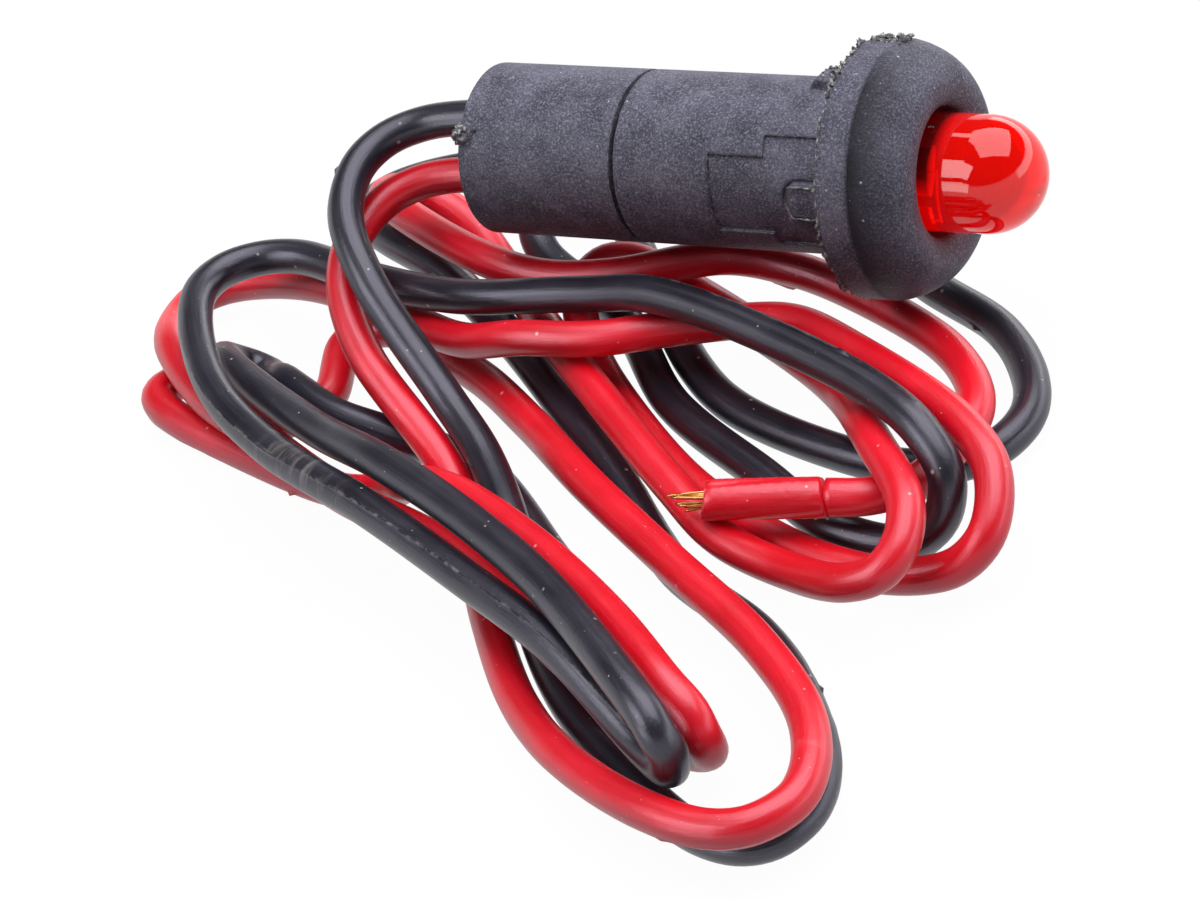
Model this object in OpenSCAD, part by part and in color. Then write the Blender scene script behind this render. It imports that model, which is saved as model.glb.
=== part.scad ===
// Pre-wired LED indicator lamp for a round panel hole.
// The lamp lies along X: the lens points to +X and the leads leave the cap towards -X.
// The origin is on the lamp's axis at the rear face of the flange, where the panel seats.

/* [Housing] */
// Outside diameter of the sleeve and the cap
body_d = 7.5; // [6.5:0.1:9.5]
// Length of the sleeve behind the flange
sleeve_len = 10.6; // [8.5:0.1:14]
// Diameter of the hollow inside the sleeve
sleeve_bore_d = 6.1; // [6.1:0.1:6.4]
// Outside diameter of the flange
flange_d = 11; // [9.5:0.1:14]
// Length of the flange's straight edge
flange_edge = 1.5; // [1:0.1:2.5]
// Height of the flange's domed face above the straight edge
flange_dome = 2.15; // [1.5:0.05:3]
// Slant of the domed face where it leaves the straight edge in a soft crease
crease_turn = 20; // [0:1:35]
// Diameter of the dome's crest
crest_d = 7.4; // [6.6:0.1:8.4]
// Depth of the rounded lip from the crest down to the lens hole
lip_depth = 0.55; // [0.2:0.05:1]
// Radius of the worn edge between the flange's straight edge and its rear face
rim_round = 0.12; // [0.05:0.01:0.3]

/* [Crush lugs] */
// Heights of the four lugs, from the first one on round the sleeve
lug_heights = [0.45, 0.4, 0.65, 0.45];
// Direction of the first lug, counted from +Y towards +Z
lug_first = 75; // [60:1:90]
// Width of a lug across the sleeve
lug_w = 1.4; // [1:0.1:2]
// Length of a lug along the sleeve, with its ramp
lug_len = 2.4; // [1.8:0.1:3.4]
// Length of the ramp at the rear end of a lug
lug_ramp = 0.5; // [0.3:0.1:1.2]
// Depth of the shallow pocket round the second lug
pocket_depth = 0.12; // [0.05:0.01:0.15]
// Length of the pocket's narrow part and wide part together
pocket_len = 6; // [5:0.1:8]
// Length of the pocket's wide part, next to the flange
pocket_wide_len = 3.4; // [2.5:0.1:4.5]
// Width of the groove between the second lug and its pocket
groove_w = 0.14; // [0.1:0.02:0.2]
// Depth of that groove below the pocket
groove_depth = 0.15; // [0.05:0.05:0.2]

/* [Cap] */
// Length of the cap behind the seam
cap_len = 7.8; // [6:0.1:10]
// Width of the open seam between sleeve and cap
seam = 0.25; // [0:0.05:0.5]
// Length of the spigot that plugs into the sleeve
spigot_len = 2.8; // [1.5:0.1:4]
// Radial clearance of the spigot in the sleeve
spigot_gap = 0.05; // [0.02:0.01:0.15]
// Wall of the spigot
spigot_wall = 0.5; // [0.3:0.05:0.6]
// Thickness of the cap's rear wall
cap_wall = 1.4; // [1:0.1:2.5]
// Radial clearance of a lead in the cap's rear wall
lead_gap = 0.1; // [0.05:0.05:0.2]
// Diameter of the moulding gate's remnant on the cap's rear rim
gate_d = 1.1; // [0.5:0.1:1.4]

/* [LED] */
// Diameter of the LED's body
led_d = 5; // [4.6:0.1:5.2]
// Diameter of the LED's collar
collar_d = 5.8; // [5.7:0.1:6]
// Thickness of the LED's collar
collar_t = 1; // [0.8:0.1:1.5]
// Length from the collar's front face to the centre of the dome
led_barrel = 5.1; // [3.5:0.1:7]
// Diameter of the flange's hole for the LED
lens_hole_d = 5.5; // [5.3:0.1:5.6]
// Side of the square LED legs
leg_w = 0.5; // [0.4:0.05:0.6]

/* [Resistor and joints] */
// Diameter of the resistor's ends
resistor_d = 1.7; // [1.4:0.05:1.7]
// Length of the resistor's body
resistor_len = 3.4; // [2.5:0.1:4]
// Diameter of the resistor's leads
resistor_lead_d = 0.45; // [0.35:0.05:0.6]
// Free length of a resistor lead between the body and its joint
resistor_lead_len = 0.9; // [0.5:0.1:1.2]
// Length of a soldered joint
solder_len = 1.2; // [0.8:0.1:1.6]
// Diameter of a soldered joint
solder_d = 1.1; // [1:0.05:1.5]
// Length of stripped core inside the cap
core_len = 1.6; // [1:0.1:2]
// Wall of a shrink sleeve
shrink_wall = 0.18; // [0.1:0.02:0.2]
// Radial clearance inside a shrink sleeve
shrink_gap = 0.08; // [0.02:0.01:0.09]

/* [Leads] */
// Diameter of the leads' insulation
wire_d = 1.6; // [1.4:0.05:1.6]
// Diameter of the stranded core
core_d = 0.84; // [0.6:0.02:1]
// Length of the piece of insulation left on the red lead's stripped end
slug_len = 5.1; // [4:0.1:7]
// Diameter of that piece
slug_d = 1.75; // [1.6:0.05:1.8]
// Length of the bare strands past that piece
strand_len = 1.4; // [0.8:0.1:3]
// Diameter of one bare strand
strand_d = 0.22; // [0.15:0.01:0.25]

/* [Hidden] */
$fn = 96;

red_pvc = "#c3121c";
black_pvc = "#26262b";
black_plastic = "#303034";
tin = "#b9bcc0";

eps = 0.01;
cord_sides = 8;
lug_count = len(lug_heights);

// The flange's face, from its straight edge over the crest to the lens hole
crest_x = flange_edge + flange_dome;
dome_steps = 20;
dome_half_r = (flange_d - crest_d) / 2 / cos(crease_turn);
dome_half_x = flange_dome / (1 - sin(crease_turn));
lip_steps = 8;
// The lip starts a little past its crest, so that the two arcs don't share a point
lip_start = 97;

// The pocket's narrow and wide parts, as angles from +Y towards +Z
pocket_narrow = [138, 194];
pocket_wide = [124, 206];
gate_turn = 134;
gate_sink = 0.25;

// Places along X
shoulder_x = 0.25;
led_base_x = shoulder_x - collar_t;
led_centre_x = shoulder_x + led_barrel;
seam_x = -sleeve_len;
cap_front_x = seam_x - seam;
cap_rear_x = seam_x - cap_len;
spigot_d = sleeve_bore_d - 2 * spigot_gap;

// The two rows of inner pieces lie on opposite sides of the axis, behind the LED's legs
leg_pitch = 2.55;
leg_turn = 244.5;

// The LED's inside: the cup with its well for the die, the post beside it and the wire
leg_top_x = 2;
cup_d = 1.3;
cup_rear_x = 1.8;
cup_front_x = 3.1;
well_depth = 0.45;
well_floor_d = 0.55;
well_mouth_d = 0.95;
well_floor_x = cup_front_x - well_depth;
post_w = 0.7;
post_front_x = 3;
die_w = 0.3;
bond_d = 0.08;
bond_top_x = cup_front_x + 0.25;

// Proportions of the resistor's body and of a soldered joint
waist_d = resistor_d * 0.86;
head_len = resistor_len * 0.22;
head_chamfer = 0.2;
solder_taper = 0.12;

// The black lead's route
black_route = [
    [-13, 0.55, 1.15], [-17, 0.55, 1.15], [-20, 0.55, 1.15], [-22.4, 0.1, 1],
    [-23.8, -1.1, 0.9], [-24.4, -2.8, 0.6], [-24, -5.1, -0.2], [-22, -7.6, -1.7],
    [-17.5, -10.8, -5.2], [-14.6, -13.2, -6.2], [-11, -17.4, -6.8], [-8.4, -21.3, -8],
    [-4.6, -25.4, -8.2], [1.4, -29.8, -8.2], [4.2, -31.2, -8.2], [6, -31.4, -8.2],
    [7.2, -30.8, -8.2], [7.9, -29.2, -8.2], [7.4, -26.8, -8.2], [4.4, -22.7, -8.2],
    [1.4, -20, -8.2], [-3.8, -17, -8.2], [-9.2, -11.9, -8.2], [-14.8, -7, -8.2],
    [-19.5, -3.2, -7.8], [-23.6, -0.7, -6.8], [-27.6, 1.3, -6.8], [-30, 3, -7.2],
    [-30.9, 4.7, -7.7], [-30.6, 6.4, -8], [-29.3, 7.8, -8.2], [-26, 9, -8.2],
    [-18.6, 10.1, -8.2], [-13.6, 9.8, -8.2], [-8.8, 8.3, -8.2], [-5.1, 5.8, -8.2],
    [-0.8, 2.5, -8.2], [4, -0.3, -8.2], [6.6, -3.3, -8.2], [7.4, -5.6, -8.2],
    [7, -7.5, -8.2], [5.8, -8.8, -8.2], [3.4, -9.4, -8.2], [-1, -8.6, -8.2],
    [-6.1, -6.6, -8.2], [-9.2, -4.2, -8.2], [-14.1, 1.4, -8.2], [-17.5, 5.1, -7.6],
    [-19.2, 6, -7.3], [-20.4, 5.7, -7.2], [-21, 5.1, -7.2], [-21.2, 3.8, -7.4],
    [-20.2, 2.4, -7.9], [-14.2, -1.4, -8.2], [-9, -6.8, -8.2], [-2.6, -10.8, -8.2],
    [1.7, -13.4, -8.2], [5.2, -14, -8.2], [6.9, -14, -7.2], [7.6, -13.7, -6.2],
    [7.7, -13.1, -4.9], [6.4, -12, -3.7], [3.6, -10.2, -3.4], [-2.4, -7.6, -3.2],
    [-9, -5.5, -3.2], [-13.4, -5, -3.9], [-19.9, -4.9, -4.6], [-24.8, -4.2, -4.6],
    [-29.3, -3, -4.6], [-31.2, -3.4, -4.5], [-32.4, -4.6, -4.3], [-32.6, -6.4, -4.1],
    [-31.2, -9.2, -4], [-27.9, -13, -4.2], [-23.4, -16, -4.4], [-16.6, -19.2, -4.2],
    [-10, -22.6, -4.2], [-3.8, -25.8, -4.6], [1.2, -28.9, -6.2], [2.7, -29.9, -6],
    [3.2, -30.3, -5.4], [3.4, -30.4, -4.6], [3.2, -30.4, -3.8], [2.7, -30, -3.2],
    [0.8, -28.5, -2.8], [-5.2, -23.7, -3], [-11.6, -19.9, -3], [-16.5, -17.4, -3.2],
    [-21.2, -14.9, -4.2], [-27.2, -11.3, -5.2], [-30.4, -9, -6], [-31.1, -8.3, -6.4],
    [-31.1, -7.5, -7.3], [-30.6, -7.2, -7.8], [-29.9, -7.3, -8], [-28.9, -8, -7.7],
    [-27.1, -9.5, -6.4], [-23.3, -11.4, -6.4], [-21, -11.6, -6.9], [-17.7, -11.6, -7.9],
    [-15.4, -12.4, -8.2], [-9.6, -17.2, -8.2], [-8.4, -18.1, -8.2]
];

// The red lead's route
red_route = [
    [-13, -0.55, -1.15], [-17, -0.55, -1.15], [-20, -0.55, -1.15], [-22.4, -1.2, -1.2],
    [-23.8, -2.5, -1.4], [-24.5, -4.8, -2], [-24, -7, -2.8], [-22, -9.6, -4.2],
    [-16.4, -13.6, -7], [-14.6, -15.7, -7.9], [-10.8, -21.1, -8.2], [-6.6, -26, -7.8],
    [-2.4, -29.4, -7], [2.6, -31.9, -6.4], [5.5, -32.4, -6.4], [7.2, -31.9, -6.4],
    [8.3, -30.4, -6.4], [8.2, -28.6, -6.4], [6.8, -25.9, -6.4], [3.1, -22.4, -6.4],
    [-3.1, -18.2, -6.4], [-9.2, -13.9, -6.7], [-14.9, -9.2, -7.8], [-19.4, -6, -8.2],
    [-25, -3.5, -8.2], [-26.3, -3.6, -8.2], [-27, -4.1, -8.2], [-27.2, -4.9, -8.2],
    [-26.1, -8.2, -8.2], [-26.5, -9.4, -8.2], [-27.6, -10.2, -8.2], [-29.3, -10.3, -8.2],
    [-32.8, -8.1, -8.2], [-33.8, -8, -8.2], [-34.6, -8.7, -8], [-34.6, -9.6, -7.9],
    [-33.6, -10.5, -7.9], [-29, -12.2, -8.2], [-22.3, -14.2, -8.2], [-19.5, -14.4, -7.8],
    [-16.4, -16, -5.6], [-13.7, -16.9, -5.1], [-8.2, -19.8, -4.8], [-2.4, -23.7, -4.6],
    [1.6, -26.9, -4.6], [2.8, -27.6, -5.2], [3.2, -27.9, -6], [3.2, -27.8, -6.8],
    [2.8, -27.4, -7.5], [1.8, -27, -8], [-0.4, -26.2, -7.6], [-4, -24.9, -6.4],
    [-10.2, -20.8, -6.4], [-14.6, -18.4, -6.4], [-20.2, -16.2, -6.6], [-26.9, -12.9, -6.4],
    [-30.8, -10.8, -6.5], [-34.5, -7.6, -6.5], [-36.2, -4.8, -7.4], [-36.4, -3, -7.7],
    [-35.7, -2, -7.8], [-34, -1.6, -7.6], [-29.1, -2.6, -6.6], [-23.4, -4.6, -6.4],
    [-19.3, -6.2, -6], [-15.6, -7, -4.9], [-12, -6.8, -4.8], [-8.4, -5.4, -5],
    [-5.6, -4.4, -5.2], [-3.2, -4.5, -5], [0.8, -6.4, -4.8], [7.3, -10.4, -4.6],
    [9.4, -12.4, -5], [10, -14.1, -5.8], [9.8, -15.2, -6.5], [8.6, -15.9, -7.4],
    [5.6, -16, -8.1], [1.2, -15.1, -8.2], [-5.2, -12, -8.2], [-11, -7.4, -8.2],
    [-14.3, -4.2, -7.8], [-15.6, -2.3, -7], [-15.8, -1.1, -6.5], [-15.2, 0, -6.2],
    [-14, 0.4, -6.3], [-11.2, -0.6, -6.6], [-4.4, -3.8, -7.3], [-0.7, -6.5, -6.9],
    [3.9, -11.8, -4.7], [7.1, -15.6, -4.5], [7.5, -17.4, -5], [6.9, -18.4, -5.6],
    [5.3, -18.6, -6.2], [1.6, -17.2, -7.2], [-2.1, -15.8, -7.1], [-5.3, -13.5, -6.7],
    [-11, -8.8, -6.5], [-16.7, -3.8, -6.7], [-21.5, 1, -7.9], [-24.3, 3.2, -7.2],
    [-26.4, 3.9, -6.4], [-27.2, 3.7, -5.9], [-27.6, 3.2, -5.4], [-27.7, 2.4, -5],
    [-27, 1.4, -4.6], [-20.4, -2, -4.6], [-16.5, -2.9, -4.8], [-13, -2.5, -4.8],
    [-8.6, -0.4, -5.1], [-5.7, 0, -5.8], [-2.4, -0.8, -6.2], [3.4, -3.8, -6.4],
    [5.8, -6.4, -6.4], [6.4, -8.2, -6.4], [6.1, -10.1, -6.5], [5.6, -12, -6.5],
    [4, -13.5, -6.2], [2.4, -14, -6]
];

// The routes were laid for a cap that ends here and for these diameters.
// The leads follow the cap, and the coil lies lower below a thicker lamp.
laid_cap_rear_x = -18.4;
laid_body_d = 7.5;
laid_flange_d = 11;
coil_drop = max(0, body_d - laid_body_d, flange_d - laid_flange_d) / 2;
coil_top_z = -1.2;
coil_fade = 1.8;

function laid(route) = [
    for (p = route)
        let (share = min(1, max(0, (coil_top_z - p.z) / coil_fade)))
            p + [cap_rear_x - laid_cap_rear_x, 0, -coil_drop * share]
];

red_line = laid(red_route);
black_line = laid(black_route);

// Inner pieces are placed from the leads' inner ends forwards
lead_start_x = red_line[0].x;
core_front_x = lead_start_x + core_len;
resistor_rear_x = core_front_x + resistor_lead_len + solder_len / 2;
resistor_front_x = resistor_rear_x + resistor_len;
joint_x = resistor_front_x + resistor_lead_len + solder_len / 2;
shrink_front_x = joint_x + solder_len / 2 + 0.2;
shrink_rear_x = lead_start_x - 0.8;
shrink_bore_d = max(wire_d, resistor_d) + 2 * shrink_gap;

// Puts children that were built along Z on the lamp's axis: Z to X, X to Y and Y to Z
module on_axis(x = 0) {
    translate([x, 0, 0])
        rotate([90, 0, 90])
            children();
}

// Puts children on the red side (side = 1) or the black side (side = -1) of the axis
module on_side(side, x = 0) {
    on_axis(x)
        rotate([0, 0, leg_turn])
            translate([side * leg_pitch / 2, 0, 0])
                children();
}

function unit(v) = v / norm(v);

// A solid rod of diameter d between the points a and b
module rod(a, b, d) {
    v = b - a;
    translate(a)
        rotate([0, acos(v.z / norm(v)), atan2(v.y, v.x)])
            cylinder(h = norm(v), d = d, $fn = 24);
}

// Points of a quarter of an ellipse round [r0, x0], from angle a0 to a1
function arc_points(r0, x0, half_r, half_x, a0, a1, steps) = [
    for (i = [0:steps])
        let (a = a0 + (a1 - a0) * i / steps)
            [r0 + half_r * cos(a), x0 + half_x * sin(a)]
];

// The direction of a route's stretch i
function stretch(route, i) = unit(route[i + 1] - route[i]);

// The normal of the mitre between two stretches; the ends are cut square
function mitre(route, i) =
    i == 0 ? stretch(route, 0) :
    i == len(route) - 1 ? stretch(route, i - 1) :
    unit(stretch(route, i - 1) + stretch(route, i));

// The slug carries on from the red lead's end, and is cut askew at its far end
slug_dir = stretch(red_line, len(red_line) - 2);
slug_start = red_line[len(red_line) - 1] + 0.1 * slug_dir;
slug_end = slug_start + slug_len * slug_dir;
slug_skew = 0.35;
slug_cut_dir = unit(slug_dir + slug_skew * [0, 0, 1]);

// A first ring of points, square to the route's start
function first_ring(route, d) =
    let (
        axis = stretch(route, 0),
        side = unit(cross(axis, [0, 0, 1])),
        up = cross(side, axis)
    )
    [
        for (k = [0:cord_sides - 1])
            let (a = 360 * (k + 0.5) / cord_sides)
                route[0] + d / 2 * (side * cos(a) + up * sin(a))
    ];

// A ring moved along stretch i until it lies in the next mitre
function next_ring(route, ring, i) =
    let (
        dir = stretch(route, i),
        normal = mitre(route, i + 1)
    )
    [for (p = ring) p + dir * ((route[i + 1] - p) * normal) / (dir * normal)];

function rings(route, d) = [
    for (
        i = 0, ring = first_ring(route, d);
        i < len(route);
        ring = i < len(route) - 1 ? next_ring(route, ring, i) : ring, i = i + 1
    )
        ring
];

// A cord of diameter d along a route, as one closed tube
module cord(route, d) {
    n = cord_sides;
    last = (len(route) - 1) * n;
    points = [for (ring = rings(route, d)) each ring];
    sides = [
        for (i = [0:len(route) - 2], k = [0:n - 1])
            [i * n + k, (i + 1) * n + k, (i + 1) * n + (k + 1) % n, i * n + (k + 1) % n]
    ];
    ends = [
        [for (k = [0:n - 1]) k],
        [for (k = [n - 1:-1:0]) last + k]
    ];
    polyhedron(points = points, faces = concat(sides, ends), convexity = 20);
}

// Flange and sleeve as one revolved form
module housing_form() {
    rotate_extrude()
        polygon(concat(
            [
                [0, seam_x],
                [body_d / 2, seam_x],
                [body_d / 2, 0],
                [flange_d / 2 - rim_round, 0],
                [flange_d / 2, rim_round]
            ],
            arc_points(
                crest_d / 2, crest_x - dome_half_x,
                dome_half_r, dome_half_x, crease_turn, 90, dome_steps
            ),
            arc_points(
                crest_d / 2, crest_x - lip_depth,
                (crest_d - lens_hole_d) / 2, lip_depth, lip_start, 180, lip_steps
            ),
            [[0, crest_x - lip_depth]]
        ));
}

// The outline of a lug laid flat, round at its rear end and grown by g, raised to the height h
module lug_block(h, g = 0) {
    rotate([90, 0, 90])
        linear_extrude(h)
            hull() {
                translate([0, lug_w / 2 - lug_len])
                    circle(d = lug_w + 2 * g, $fn = 32);
                translate([-lug_w / 2 - g, -lug_w / 2])
                    square([lug_w + 2 * g, lug_w / 2 + eps]);
            }
}

// One crush lug, ramped at its rear end, with its root inside the sleeve's wall
module crush_lug(height) {
    root = sleeve_bore_d / 2 + 0.2;
    crown = body_d / 2 + height;
    intersection() {
        lug_block(body_d);
        rotate([0, 0, -45])
            rotate_extrude(angle = 90)
                polygon([
                    [root, -lug_len],
                    [body_d / 2 - pocket_depth, -lug_len],
                    [crown, -lug_len + lug_ramp],
                    [crown, eps],
                    [root, eps]
                ]);
    }
}

// Puts children on lug number k
module at_lug(k) {
    rotate([0, 0, lug_first + 360 * k / lug_count])
        children();
}

// A slice of the sleeve's outer skin between two angles, this long behind the flange
module skin_slice(turns, len) {
    rotate([0, 0, turns[0]])
        rotate_extrude(angle = turns[1] - turns[0])
            translate([body_d / 2 - pocket_depth, -len])
                square([2 * pocket_depth, len]);
}

module front_housing() {
    color(black_plastic)
        on_axis()
            difference() {
                union() {
                    difference() {
                        housing_form();
                        skin_slice(pocket_narrow, pocket_len);
                        skin_slice(pocket_wide, pocket_wide_len);
                        at_lug(1)
                            translate([body_d / 2 - pocket_depth - groove_depth, 0, 0])
                                lug_block(1, groove_w);
                    }
                    for (k = [0:lug_count - 1])
                        at_lug(k)
                            crush_lug(lug_heights[k]);
                }
                translate([0, 0, seam_x - eps])
                    cylinder(h = sleeve_len + shoulder_x + eps, d = sleeve_bore_d);
                cylinder(h = crest_x + 1, d = lens_hole_d);
            }
}

module rear_cap() {
    color(black_plastic)
        difference() {
            on_axis()
                union() {
                    translate([0, 0, cap_rear_x])
                        cylinder(h = cap_front_x - cap_rear_x, d = body_d);
                    translate([0, 0, cap_front_x - eps])
                        cylinder(h = spigot_len + eps, d = spigot_d);
                    rotate([0, 0, gate_turn])
                        translate([body_d / 2 - gate_sink, 0, cap_rear_x + gate_sink])
                            sphere(d = gate_d, $fn = 24);
                }
            on_axis(cap_rear_x + cap_wall)
                cylinder(h = cap_len + spigot_len, d = spigot_d - 2 * spigot_wall);
            for (side = [1, -1])
                on_side(side, cap_rear_x - 1)
                    cylinder(h = cap_wall + 2, d = wire_d + 2 * lead_gap);
        }
}

// The lens, cast round the two legs, with the flat that marks the cathode
module led_lens() {
    color("#d8200f", 0.75)
        difference() {
            on_axis()
                difference() {
                    union() {
                        translate([0, 0, led_base_x])
                            cylinder(h = collar_t, d = collar_d);
                        translate([0, 0, led_base_x])
                            cylinder(h = led_centre_x - led_base_x, d = led_d);
                        translate([0, 0, led_centre_x])
                            sphere(d = led_d);
                    }
                    rotate([0, 0, leg_turn])
                        translate([-collar_d / 2 - led_d / 2, -collar_d / 2, led_base_x - eps])
                            cube([collar_d / 2, collar_d, collar_t + eps]);
                }
            leg_form(1, eps);
            leg_form(-1, eps);
            cathode_cup(eps);
            anode_post(eps);
            die_form(eps);
            bond_form(eps);
        }
}

// A square leg from its soldered joint up into the lens, grown by g on every side
module leg_form(side, g = 0) {
    rear_x = side > 0 ? joint_x : core_front_x;
    on_side(side, rear_x)
        translate([-leg_w / 2 - g, -leg_w / 2 - g, -g])
            cube([leg_w + 2 * g, leg_w + 2 * g, leg_top_x - rear_x + 2 * g]);
}

// The cup that holds the die, with the web that joins it to the cathode's leg
module cathode_cup(g = 0) {
    on_axis()
        difference() {
            union() {
                translate([0, 0, cup_rear_x - g])
                    cylinder(h = cup_front_x - cup_rear_x + 2 * g, d = cup_d + 2 * g);
                rotate([0, 0, leg_turn])
                    translate([-leg_pitch / 2 - leg_w / 2 - g, -leg_w / 2 - g, leg_top_x - leg_w - g])
                        cube([leg_pitch / 2 + leg_w / 2 + g, leg_w + 2 * g, leg_w + 2 * g]);
            }
            if (g == 0)
                translate([0, 0, well_floor_x])
                    cylinder(h = well_depth + eps, d1 = well_floor_d, d2 = well_mouth_d);
        }
}

// The anode's post beside the cup
module anode_post(g = 0) {
    on_side(1, leg_top_x - leg_w)
        translate([-post_w / 2 - g, -leg_w / 2 - g, -g])
            cube([post_w + 2 * g, leg_w + 2 * g, post_front_x - leg_top_x + leg_w + 2 * g]);
}

module die_form(g = 0) {
    on_axis(well_floor_x)
        translate([-die_w / 2 - g, -die_w / 2 - g, -g])
            cube([die_w + 2 * g, die_w + 2 * g, die_w + 2 * g]);
}

// The bond wire: up from the die and across to the anode's post
module bond_form(g = 0) {
    on_axis()
        rotate([0, 0, leg_turn]) {
            translate([0, 0, well_floor_x + die_w])
                cylinder(h = bond_top_x - well_floor_x - die_w, d = bond_d + 2 * g, $fn = 16);
            translate([-bond_d / 2 - g, -bond_d / 2 - g, bond_top_x - g])
                cube([leg_pitch / 2 + bond_d + 2 * g, bond_d + 2 * g, bond_d + 2 * g]);
            translate([leg_pitch / 2, 0, post_front_x])
                cylinder(h = bond_top_x - post_front_x, d = bond_d + 2 * g, $fn = 16);
        }
}

module led_cathode() {
    color(tin) {
        leg_form(-1);
        cathode_cup();
    }
}

module led_anode() {
    color(tin) {
        leg_form(1);
        anode_post();
    }
}

module led_die() {
    color("khaki")
        die_form();
}

module led_bond_wire() {
    color("gold")
        bond_form();
}

// A dog-bone body between its two leads
module resistor_body() {
    color("#c9ad7c")
        on_side(1, resistor_rear_x)
            rotate_extrude()
                polygon([
                    [0, 0],
                    [resistor_d / 2 - head_chamfer, 0],
                    [resistor_d / 2, head_chamfer],
                    [resistor_d / 2, head_len],
                    [waist_d / 2, head_len + head_chamfer],
                    [waist_d / 2, resistor_len - head_len - head_chamfer],
                    [resistor_d / 2, resistor_len - head_len],
                    [resistor_d / 2, resistor_len - head_chamfer],
                    [resistor_d / 2 - head_chamfer, resistor_len],
                    [0, resistor_len]
                ]);
}

module resistor_lead(x0, x1) {
    color(tin)
        on_side(1, x0)
            cylinder(h = x1 - x0, d = resistor_lead_d, $fn = 24);
}

module resistor_front_lead() {
    resistor_lead(resistor_front_x, joint_x);
}

module resistor_rear_lead() {
    resistor_lead(core_front_x, resistor_rear_x);
}

// A barrel of solder round two ends that meet at x, with both ends cut out of it
module solder_joint(side, x) {
    color("silver")
        difference() {
            on_side(side, x - solder_len / 2)
                rotate_extrude($fn = 32)
                    polygon([
                        [0, 0],
                        [solder_d / 2 - solder_taper, 0],
                        [solder_d / 2, solder_len * 0.3],
                        [solder_d / 2, solder_len * 0.7],
                        [solder_d / 2 - solder_taper, solder_len],
                        [0, solder_len]
                    ]);
            children();
        }
}

module solder_led_resistor() {
    solder_joint(1, joint_x) {
        leg_form(1, eps);
        on_side(1, joint_x - solder_len)
            cylinder(h = solder_len + eps, d = resistor_lead_d + 2 * eps, $fn = 24);
    }
}

module solder_resistor_red() {
    solder_joint(1, core_front_x) {
        core_form(1, eps);
        on_side(1, core_front_x - eps)
            cylinder(h = solder_len, d = resistor_lead_d + 2 * eps, $fn = 24);
    }
}

module solder_led_black() {
    solder_joint(-1, core_front_x) {
        leg_form(-1, eps);
        core_form(-1, eps);
    }
}

// The stripped core between a lead's inner end and its joint
module core_form(side, g = 0) {
    on_side(side, lead_start_x)
        cylinder(h = core_len, d = core_d + 2 * g, $fn = 24);
}

module red_core() {
    color("#c98a4b")
        core_form(1);
}

module black_core() {
    color("#c98a4b")
        core_form(-1);
}

module shrink(side) {
    color("#1d1d20")
        on_side(side, shrink_rear_x)
            difference() {
                cylinder(h = shrink_front_x - shrink_rear_x, d = shrink_bore_d + 2 * shrink_wall);
                translate([0, 0, -eps])
                    cylinder(h = shrink_front_x - shrink_rear_x + 2 * eps, d = shrink_bore_d);
            }
}

module shrink_red() {
    shrink(1);
}

module shrink_black() {
    shrink(-1);
}

module red_lead() {
    color(red_pvc)
        cord(red_line, wire_d);
}

module black_lead() {
    color(black_pvc)
        cord(black_line, wire_d);
}

module red_slug() {
    color(red_pvc)
        difference() {
            rod(slug_start, slug_end + slug_d / 2 * slug_dir, slug_d);
            rod(slug_start - slug_dir, slug_end + slug_d * slug_dir, core_d + 0.1);
            rod(slug_end, slug_end + 2 * slug_d * slug_cut_dir, 3 * slug_d);
        }
}

// The core through the slug, and its strands spread past the slug's end
module red_strands() {
    fan = [[0, 0], [0.3, 0.1], [-0.3, 0.15], [0.15, 0.35], [-0.2, -0.25], [0.25, -0.3]];
    foot_spread = 0.6;
    tip_spread = 1.5;
    side = cross(slug_dir, [0, 0, 1]);
    color("#c98a4b") {
        rod(slug_start, slug_end, core_d);
        for (f = fan) {
            out = f.x * side + f.y * [0, 0, 1];
            reach = strand_len * (1 - norm(f) / 3);
            foot = slug_end - 0.2 * slug_dir + foot_spread * out;
            tip = slug_end + reach * slug_dir + tip_spread * out;
            rod(foot, tip, strand_d);
        }
    }
}

front_housing();
rear_cap();
led_lens();
led_cathode();
led_anode();
led_die();
led_bond_wire();
resistor_body();
resistor_front_lead();
resistor_rear_lead();
solder_led_resistor();
solder_resistor_red();
solder_led_black();
shrink_red();
shrink_black();
red_core();
black_core();
red_lead();
black_lead();
red_slug();
red_strands();
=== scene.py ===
"""The looks of a pre-wired LED indicator lamp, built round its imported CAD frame.

Lengths are written in millimetres and multiplied by MM, because Blender's unit here is the metre.
The lamp's axis is X, the lens points to +X, and the leads lie on the floor below the lamp.
"""

import math

import bmesh
import bpy
import numpy as np
from mathutils import Matrix, Vector


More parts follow.
